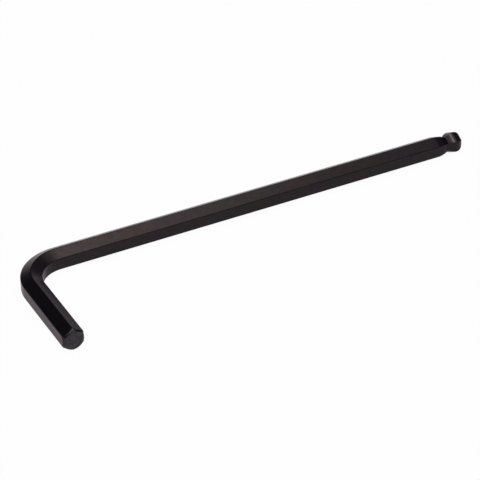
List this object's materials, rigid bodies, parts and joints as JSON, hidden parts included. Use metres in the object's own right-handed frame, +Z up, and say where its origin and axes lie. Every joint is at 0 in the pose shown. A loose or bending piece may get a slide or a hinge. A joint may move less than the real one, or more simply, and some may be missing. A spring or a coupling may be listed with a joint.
{
  "type": "hex key",
  "caption": "L-shaped hex key: a hexagonal steel bar bent once, black all over, with a chamfered flat end on the short arm and a milled ball end on the long arm.",
  "frame": {"origin": "on the surface that the key lies on, below the middle of its box", "axes": "+X along the long arm towards the ball end, -Y along the short arm towards its flat end, +Z up from the surface that the key lies on"},
  "size_m": [0.12, 0.033, 0.0057],
  "materials": {
    "black_steel": "satin black oxide over drawn steel"
  },
  "bodies": {
    "root": {"hex_key": "black_steel"}
  },
  "joints": []
}
